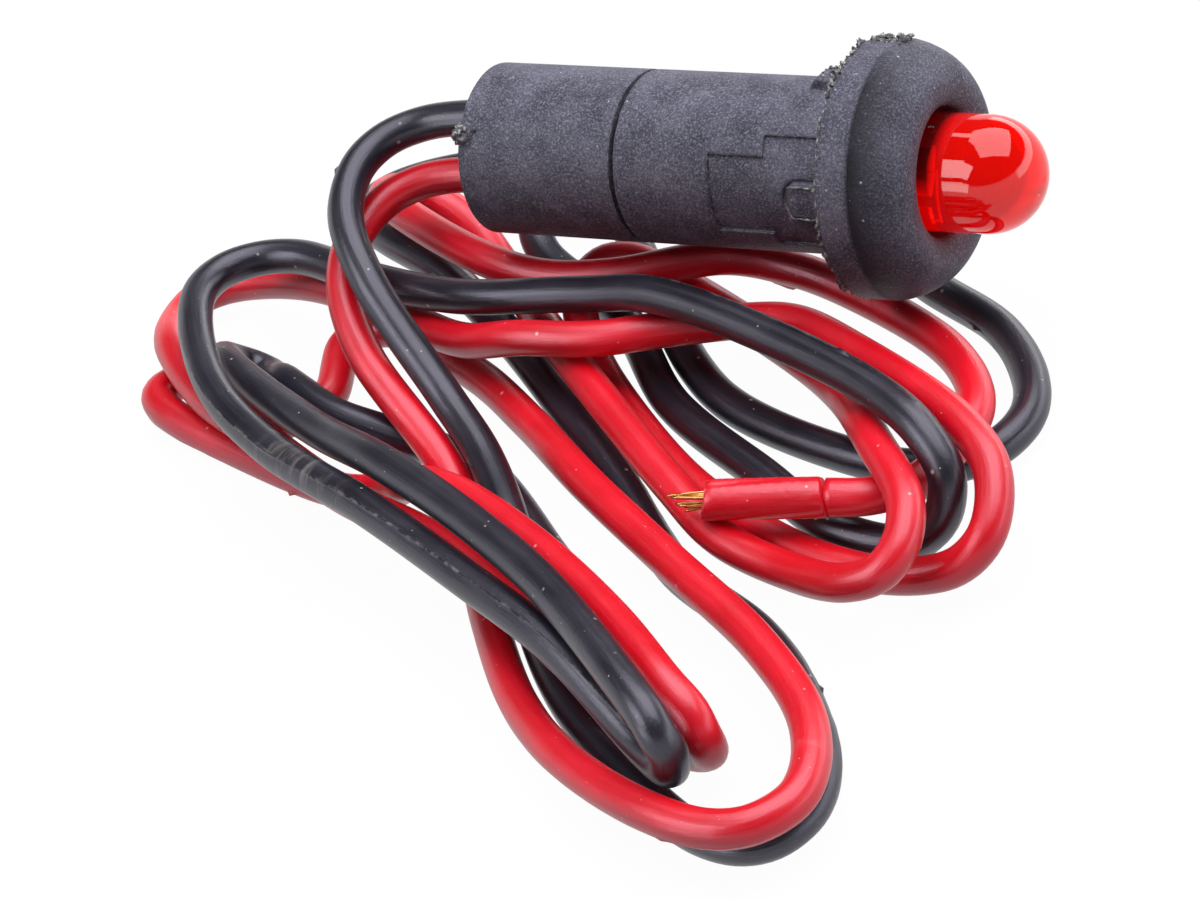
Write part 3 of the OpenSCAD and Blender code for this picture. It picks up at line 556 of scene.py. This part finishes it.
class Nodes:
    """A short way to write the node tree of a material or of the world."""

    def __init__(self, owner, shader="Principled BSDF", place="Object"):
        owner.use_nodes = True
        self.owner = owner
        self.tree = owner.node_tree
        self.shader = self.tree.nodes[shader]
        self.place = self.add("TexCoord").outputs[place]

    def add(self, kind, settings=None, **inputs):
        """A node with its settings, and its inputs set to values or linked to sockets."""
        node = self.tree.nodes.new("ShaderNode" + kind)
        for key, value in (settings or {}).items():
            setattr(node, key, value)
        for key, value in inputs.items():
            self.put(node.inputs[key.replace("_", " ")], value)
        return node

    def put(self, socket, value):
        """Links a socket to the input, or sets the input to a value."""
        if isinstance(value, bpy.types.NodeSocket):
            self.tree.links.new(value, socket)
        else:
            socket.default_value = value

    def noise(self, size, detail=2.0, roughness=0.5, at=None):
        """Noise with features of about this size in millimetres."""
        return self.add(
            "TexNoise", Vector=at or self.place, Scale=1 / (size * MM), Detail=detail,
            Roughness=roughness,
        ).outputs["Fac"]

    def ramp(self, value, low, high, start, end):
        """Maps low..high of a value to start..end, and stops there."""
        return self.add(
            "MapRange", {"clamp": True},
            Value=value, From_Min=low, From_Max=high, To_Min=start, To_Max=end,
        ).outputs["Result"]

    def ramp_mm(self, value, low, high, start, end):
        """A ramp whose low and high are in millimetres."""
        return self.ramp(value, low * MM, high * MM, start, end)

    def parts(self, vector):
        """The X, Y and Z of a vector."""
        return self.add("SeparateXYZ", Vector=vector).outputs

    def math(self, kind, a, b=0.0):
        """A number worked out of one or two others."""
        node = self.add("Math", {"operation": kind})
        self.put(node.inputs[0], a)
        self.put(node.inputs[1], b)
        return node.outputs[0]

    def mix(self, factor, a, b):
        """A colour between a and b."""
        node = self.add("Mix", {"data_type": "RGBA"})
        self.put(node.inputs["Factor"], factor)
        self.put(node.inputs[6], a)
        self.put(node.inputs[7], b)
        return node.outputs[2]

    def bumps(self, *layers, over=None):
        """Stacks bump layers of (height socket, depth in millimetres) over a normal."""
        normal = over
        for height, depth in layers:
            node = self.add("Bump", Height=height, Distance=depth * MM)
            if normal:
                self.put(node.inputs["Normal"], normal)
            normal = node.outputs["Normal"]
        self.put(self.shader.inputs["Normal"], normal)

    def specks(self, size, share, width=0.12):
        """Dust specks: 1 inside a share of cells of this size in millimetres, 0 elsewhere."""
        cells = self.add("TexVoronoi", Vector=self.place, Scale=1 / (size * MM))
        parts = self.add("SeparateColor", Color=cells.outputs["Color"])
        edge = self.math("MULTIPLY", parts.outputs[1], 2 * width)
        near = self.ramp(cells.outputs["Distance"], 0.0, edge, 1.0, 0.0)
        return self.math("MULTIPLY", near, self.math("LESS_THAN", parts.outputs[0], share))

    def rounded(self, radius):
        """The normal with edges rounded off to this radius in millimetres."""
        return self.add("Bevel", {"samples": 6}, Radius=radius * MM).outputs[0]

    def edges(self, radius, start, end):
        """1 along edges sharper than this radius in millimetres, 0 on plain faces."""
        flat = self.add("NewGeometry").outputs["Normal"]
        alike = self.add("VectorMath", {"operation": "DOT_PRODUCT"})
        self.put(alike.inputs[0], self.rounded(radius))
        self.put(alike.inputs[1], flat)
        return self.ramp(alike.outputs["Value"], end, start, 1.0, 0.0)

    def set(self, **inputs):
        """Sets the shader's inputs and gives back what the tree belongs to."""
        for key, value in inputs.items():
            self.put(self.shader.inputs[key.replace("_", " ")], value)
        return self.owner


def material_nodes(name):
    """The node tree of a new material."""
    return Nodes(bpy.data.materials.new(name))


def rgb(red, green, blue):
    return (red, green, blue, 1.0)


def painted_crease_shade(n, mottle):
    """Painted shade in the flange's crease and on the dome's face beyond it, on its -Y side but for the
    bottom, as the photo shows it.
    """
    x, y, z = n.parts(n.place)
    crease_shade = n.math("MULTIPLY", n.ramp_mm(x, FLANGE_EDGE - 0.10, FLANGE_EDGE + 0.08, 0, 1),
                   n.ramp_mm(x, FLANGE_EDGE + 0.20, FLANGE_EDGE + 2.20, 1, 0))
    crease_shade = n.math("MULTIPLY", crease_shade, n.ramp_mm(y, 3.0, -1.5, 0, 1))
    crease_shade = n.math("MULTIPLY", crease_shade, n.ramp_mm(z, -4.4, -2.0, 0, 1))
    return n.math("MULTIPLY", crease_shade, n.ramp(mottle, 0.3, 0.6, 0.75, 1))


def moulded_plastic():
    """Spark-eroded black plastic: a grain with painted sparkle, pale dust in it, worn, torn edges paled
    partly by a painted highlight, and painted shade in the flange's crease.
    """
    n = material_nodes("moulded_plastic")
    grain = n.noise(0.10, detail=3, roughness=0.65)
    mottle = n.noise(1.8, detail=5, roughness=0.6)
    dark, pale = rgb(0.052, 0.050, 0.074), rgb(0.126, 0.122, 0.168)
    base = n.mix(n.ramp(mottle, 0.35, 0.68, 0, 1), dark, pale)
    # The grain's pale and dark specks are partly its own tone and partly painted sparkle
    base = n.mix(n.ramp(grain, 0.50, 0.72, 0, 0.6), base, rgb(0.36, 0.36, 0.44))
    base = n.mix(n.ramp(grain, 0.28, 0.45, 0.75, 0), base, rgb(0.014, 0.013, 0.020))
    # Painted shade: the flange's crease and the dome's face beyond it are darkened
    base = n.mix(painted_crease_shade(n, mottle), base, rgb(0.014, 0.013, 0.018))
    for size, share, strength in ((0.15, 0.14, 0.6), (0.30, 0.09, 0.9)):
        dust = n.specks(size, share)
        base = n.mix(n.math("MULTIPLY", dust, strength), base, rgb(0.75, 0.74, 0.76))
    # Paler along sharp edges, in patches: partly wear, partly a painted highlight
    patches = n.ramp(n.noise(0.35, detail=4), 0.46, 0.60, 0, 0.8)
    wear_and_edge_highlight = n.math("MULTIPLY", n.edges(0.05, 0.99, 0.90), patches)
    base = n.mix(wear_and_edge_highlight, base, rgb(0.50, 0.49, 0.50))
    step = n.ramp_mm(n.parts(n.place)["X"], FLANGE_EDGE - 0.20, FLANGE_EDGE + 0.12, 1, 0)
    pores = n.noise(0.3, detail=2)
    n.bumps((step, 0.16), (grain, 0.05), (pores, 0.03), (mottle, 0.08), over=n.rounded(0.2))
    return n.set(
        Base_Color=base, Roughness=n.ramp(mottle, 0.3, 0.7, 0.42, 0.58), Specular_IOR_Level=0.12,
    )


def torn_plastic():
    """The same plastic where it tore: whitened crumbs and fins with dark hollows."""
    n = material_nodes("torn_plastic")
    patch = n.noise(0.22, detail=3, roughness=0.6)
    base = n.mix(n.ramp(patch, 0.48, 0.66, 0, 1), rgb(0.05, 0.05, 0.06), rgb(0.52, 0.50, 0.48))
    n.bumps((n.noise(0.07, detail=2), 0.04))
    return n.set(Base_Color=base, Roughness=0.6)


def scratched(n, skin, scuff):
    """How scratched a lead is: only from start to end of its scuff, fading over the edge."""
    start, end, edge = scuff
    along = n.parts(skin)["X"]
    part = n.math("MULTIPLY", n.ramp_mm(along, start, start + edge, 0, 1),
                  n.ramp_mm(along, end - edge, end, 1, 0))
    across = n.add("Mapping", Vector=skin, Scale=(1, 0.15, 0.15)).outputs["Vector"]
    lines = n.ramp(n.noise(0.55, detail=3, roughness=0.6, at=across), 0.48, 0.68, 0, 0.5)
    patches = n.ramp(n.noise(1.6), 0.42, 0.58, 0.1, 1)
    return n.math("MULTIPLY", part, n.math("MULTIPLY", lines, patches))


def wire_insulation(name, dark, plain, pale, roughness, scuff):
    """Satin PVC: drawn streaks along the lead, a pale torn ridge, dust and a few dull patches.

    A scuff is a scratched stretch: its start, end and soft edge, in millimetres along the lead.
    """
    n = material_nodes(name)
    tear = n.add("Attribute", {"attribute_name": "tear"}).outputs["Fac"]
    skin = n.add("Attribute", {"attribute_name": "skin"}).outputs["Vector"]
    drawn = n.add("Mapping", Vector=skin, Scale=(0.06, 1, 1)).outputs["Vector"]
    streaks = n.noise(0.13, detail=3, roughness=0.6, at=drawn)
    patch = n.noise(4.0, detail=3, roughness=0.55)
    base = n.mix(n.ramp(patch, 0.35, 0.65, 0, 1), dark, plain)
    whitened = n.ramp(n.noise(0.5, detail=4, roughness=0.65), 0.48, 0.64, 0, 0.7)
    torn = n.math("MULTIPLY", tear, whitened)
    base = n.mix(torn, base, pale)
    base = n.mix(scratched(n, skin, scuff), base, pale)
    for size, share in ((0.30, 0.13), (0.62, 0.15)):
        dust = n.math("MULTIPLY", n.specks(size, share, width=0.10), 0.7)
        base = n.mix(dust, base, rgb(0.8, 0.74, 0.72))
    duller = n.math("ADD", n.ramp(streaks, 0.3, 0.7, -0.03, 0.06), n.math("MULTIPLY", torn, 0.25))
    rough = n.math("ADD", n.ramp(patch, 0.3, 0.7, roughness - 0.02, roughness + 0.04), duller)
    pores = n.noise(0.16, detail=3, roughness=0.6)
    waves = n.noise(2.0, detail=1)
    n.bumps((streaks, 0.013), (pores, 0.009), (waves, 0.02))
    return n.set(
        Base_Color=base, Roughness=rough, Specular_IOR_Level=0.85, Specular_Tint=rgb(0.86, 0.84, 1.0),
        Sheen_Weight=0.03, Sheen_Roughness=0.35, Sheen_Tint=rgb(0.85, 0.84, 1.0),
    )


def red_epoxy():
    """Clear red epoxy, faintly diffusing, with a fine ripple on its skin and dust chips, a painted red
    glow and painted shade in the hole.
    """
    n = material_nodes("red_epoxy")
    n.bumps((n.noise(2.2, detail=1), 0.012))
    deep, bright = rgb(1.0, 0.004, 0.0004), rgb(1.0, 0.008, 0.0008)
    tint = n.mix(n.ramp(n.noise(2.5), 0.3, 0.7, 0, 1), deep, bright)
    dust = n.specks(0.55, 0.05, width=0.10)
    tint = n.mix(dust, tint, rgb(0.9, 0.75, 0.7))
    # Painted shade: the barrel is darkened where it goes down into the hole, but for the side that the
    # floor lights
    x, _, z = n.parts(n.place)
    hole_shade = n.math("MULTIPLY", n.ramp_mm(x, CREST_X + 0.05, CREST_X + 0.55, 1, 0),
                  n.ramp_mm(z, 0.3, 1.3, 0, 1))
    tint = n.mix(n.math("MULTIPLY", hole_shade, 0.97), tint, rgb(0.03, 0.0, 0.0))
    # A painted red glow, though the LED is not lit, left out in the painted shade of the hole
    painted_glow = n.mix(hole_shade, rgb(1.0, 0.0, 0.0), rgb(0.0, 0.0, 0.0))
    clear = n.math("MULTIPLY", n.math("SUBTRACT", 1.0, dust), 0.74)
    return n.set(
        Base_Color=tint, Roughness=0.02, IOR=1.54, Transmission_Weight=clear,
        Emission_Color=painted_glow, Emission_Strength=0.18,
    )


def metal(name, dark, bright, roughness, size):
    """Bare metal with a patchy tone."""
    n = material_nodes(name)
    patch = n.noise(size, detail=3)
    base = n.mix(n.ramp(patch, 0.3, 0.7, 0, 1), dark, bright)
    n.bumps((patch, 0.01))
    rough = n.ramp(patch, 0.3, 0.7, roughness - 0.08, roughness + 0.08)
    return n.set(Base_Color=base, Metallic=1.0, Roughness=rough)


def banded_lacquer():
    """Beige resistor lacquer with four colour bands across the X axis."""
    n = material_nodes("banded_lacquer")
    low, high = (v.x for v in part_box("resistor_body"))
    share = n.ramp(n.parts(n.place)["X"], low, high, 0, 1)
    base = n.mix(n.ramp(n.noise(0.8), 0.3, 0.7, 0, 1), rgb(0.50, 0.36, 0.20), rgb(0.62, 0.46, 0.28))
    bands = (
        (0.16, rgb(0.55, 0.35, 0.03)),
        (0.38, rgb(0.22, 0.03, 0.30)),
        (0.56, rgb(0.14, 0.05, 0.02)),
        (0.82, rgb(0.55, 0.40, 0.12)),
    )
    for centre, colour in bands:
        off = n.math("ABSOLUTE", n.math("SUBTRACT", share, centre))
        base = n.mix(n.math("LESS_THAN", off, 0.05), base, colour)
    n.bumps((n.noise(0.5), 0.01))
    return n.set(Base_Color=base, Roughness=0.3)


def matt_skin(name, dark, plain, roughness):
    """A plain moulded or shrunk skin with a faint mottle."""
    n = material_nodes(name)
    patch = n.noise(0.9, detail=3)
    n.bumps((patch, 0.015))
    return n.set(
        Base_Color=n.mix(n.ramp(patch, 0.3, 0.7, 0, 1), dark, plain),
        Roughness=n.ramp(patch, 0.3, 0.7, roughness - 0.06, roughness + 0.06),
    )


red_pvc = wire_insulation(
    "red_pvc", rgb(0.60, 0.0004, 0.008), rgb(0.74, 0.0008, 0.014), rgb(0.85, 0.30, 0.29), 0.33,
    scuff=(63.2, 64.6, 0.2),
)
black_pvc = wire_insulation(
    "black_pvc", rgb(0.007, 0.006, 0.011), rgb(0.014, 0.012, 0.020), rgb(0.22, 0.20, 0.19), 0.32,
    scuff=(293, 303, 2),
)
housing_plastic = moulded_plastic()
flash_plastic = torn_plastic()
epoxy = red_epoxy()
tinned = metal("tinned_steel", rgb(0.42, 0.42, 0.40), rgb(0.62, 0.62, 0.60), 0.35, 0.7)
copper = metal("copper", rgb(0.42, 0.18, 0.05), rgb(0.80, 0.42, 0.14), 0.34, 0.3)
solder = metal("solder", rgb(0.40, 0.41, 0.43), rgb(0.62, 0.63, 0.65), 0.4, 0.5)
shrink_sleeve = matt_skin("shrink_sleeve", rgb(0.012, 0.012, 0.013), rgb(0.025, 0.025, 0.027), 0.5)

NODE_MATERIALS = {
    "front_housing": housing_plastic,
    "rear_cap": housing_plastic,
    "led_lens": epoxy,
    "led_cathode": tinned,
    "led_anode": tinned,
    "led_die": matt_skin("die", rgb(0.55, 0.50, 0.25), rgb(0.75, 0.70, 0.40), 0.4),
    "led_bond_wire": metal("gold", rgb(0.8, 0.55, 0.2), rgb(0.95, 0.75, 0.35), 0.25, 0.2),
    "resistor_body": banded_lacquer(),
    "resistor_front_lead": tinned,
    "resistor_rear_lead": tinned,
    "solder_led_resistor": solder,
    "solder_resistor_red": solder,
    "solder_led_black": solder,
    "shrink_red": shrink_sleeve,
    "shrink_black": shrink_sleeve,
    "red_core": copper,
    "black_core": copper,
    "red_slug": red_pvc,
    "red_strands": copper,
}

PIECE_MATERIALS = (
    (red_insulation, red_pvc),
    (black_insulation, black_pvc),
    (red_offcut, red_pvc),
    (copper_strands, copper),
    (flange_flash, flash_plastic),
    (lug_flash, flash_plastic),
    (moulding_crumbs, flash_plastic),
)

for node_name, node_material in NODE_MATERIALS.items():
    for material_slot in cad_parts[node_name].material_slots:
        material_slot.material = node_material
for piece, material in PIECE_MATERIALS:
    piece.data.materials.append(material)

# ---------------------------------------------------------------- stage

# In metres, but for the gap below the leads, which is in millimetres
FLOOR_SIZE = 4
FLOOR_GAP = 0.02
FLOOR_GREY = 0.22
FLOOR_WHITE = 1.08
FLOOR_WHITE_SHARE = 0.9
SOFTBOX_DISTANCE = 0.6

# Each softbox's name, the direction that it stands in, the way its width lies, its width and height in
# metres, its radiance, and the rays that don't meet it
SOFTBOXES = (
    ("top_softbox", (0.19, 0.32, 0.93), (0.78, 0.52, -0.34), 0.69, 0.76, 3.6, ()),
    ("left_softbox", (-0.50, -0.61, 0.64), (0.87, -0.49, -0.04), 0.45, 0.30, 5.0, ("diffuse",)),
    ("key_light", (-0.25, -0.25, 0.93), (1, 0, 0), 0.50, 0.50, 2.5, ("glossy", "transmission")),
    ("side_fill", (0.87, -0.35, 0.15), (0, 1, 0), 0.30, 0.30, 0.9, ("glossy", "transmission")),
    ("low_panel", (-0.46, -0.86, 0.17), (0.87, -0.49, 0), 0.30, 0.18, 3.6, ("diffuse",)),
)

# The world's dim light from all round; its lit wall's way, soft edge in cosines, and added strength; and
# the soft top edge of the backdrop, as the height in a direction of length 1
WORLD_DIM = 0.06
WALL_WAY = (0.616, 0.788, 0)
WALL_EDGE = (0.50, 0.55)
WALL_STRENGTH = 2.4
BACKDROP_TOP = (0.22, 0.28)


def seen_rays(n):
    """1 for the rays that show the background: camera, glossy and transmission rays."""
    rays = n.add("LightPath").outputs
    through = n.math("ADD", rays["Is Glossy Ray"], rays["Is Transmission Ray"])
    return n.math("MINIMUM", n.math("ADD", rays["Is Camera Ray"], through), 1.0)


def add_floor():
    """A mid grey floor under the leads, seen as white, that keeps a faint shadow of the lamp."""
    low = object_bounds()[0][2]
    bpy.ops.mesh.primitive_plane_add(size=FLOOR_SIZE, location=(0, 0, low - FLOOR_GAP * MM))
    floor = bpy.context.object
    floor.name = "floor"
    n = material_nodes("white_floor")
    n.set(Base_Color=rgb(FLOOR_GREY, FLOOR_GREY, FLOOR_GREY), Roughness=0.6, Specular_IOR_Level=0.2)
    white = n.add("Emission", Color=rgb(1, 1, 1), Strength=FLOOR_WHITE)
    blend = n.add("MixShader")
    n.put(blend.inputs[0], n.math("MULTIPLY", seen_rays(n), FLOOR_WHITE_SHARE))
    n.put(blend.inputs[1], n.shader.outputs[0])
    n.put(blend.inputs[2], white.outputs[0])
    n.put(n.tree.nodes["Material Output"].inputs["Surface"], blend.outputs[0])
    floor.data.materials.append(n.owner)


def add_softbox(name, direction, across, width, height, radiance, unmet_by):
    """A rectangular softbox that faces the lamp from a direction, its width laid across."""
    z = Vector(direction).normalized()
    x = Vector(across)
    x = (x - z * x.dot(z)).normalized()
    y = z.cross(x)
    turn = Matrix((x, y, z)).transposed().to_4x4()
    light = bpy.data.lights.new(name, "AREA")
    light.shape = "RECTANGLE"
    light.size, light.size_y = width, height
    light.energy = radiance * math.pi * width * height
    box = bpy.data.objects.new(name, light)
    box.matrix_world = Matrix.Translation(z * SOFTBOX_DISTANCE) @ turn
    for ray in unmet_by:
        setattr(box, "visible_" + ray, False)
    bpy.context.collection.objects.link(box)


def add_world():
    """A dim studio with a white backdrop at the horizon, all round, and one lit wall beyond the lens."""
    world = bpy.data.worlds.new("studio")
    bpy.context.scene.world = world
    n = Nodes(world, shader="Background", place="Generated")
    toward = n.add("VectorMath", {"operation": "DOT_PRODUCT"})
    n.put(toward.inputs[0], n.place)
    n.put(toward.inputs[1], WALL_WAY)
    wall = n.ramp(toward.outputs["Value"], *WALL_EDGE, 0.0, WALL_STRENGTH)
    low_down = n.ramp(n.parts(n.place)["Z"], *BACKDROP_TOP, 1.0, 0.0)
    backdrop = n.math("MULTIPLY", n.math("ADD", seen_rays(n), wall), low_down)
    n.set(Color=rgb(1, 1, 1), Strength=n.math("ADD", backdrop, WORLD_DIM))


add_floor()
for softbox in SOFTBOXES:
    add_softbox(*softbox)
add_world()
bpy.context.scene.view_settings.view_transform = "Standard"
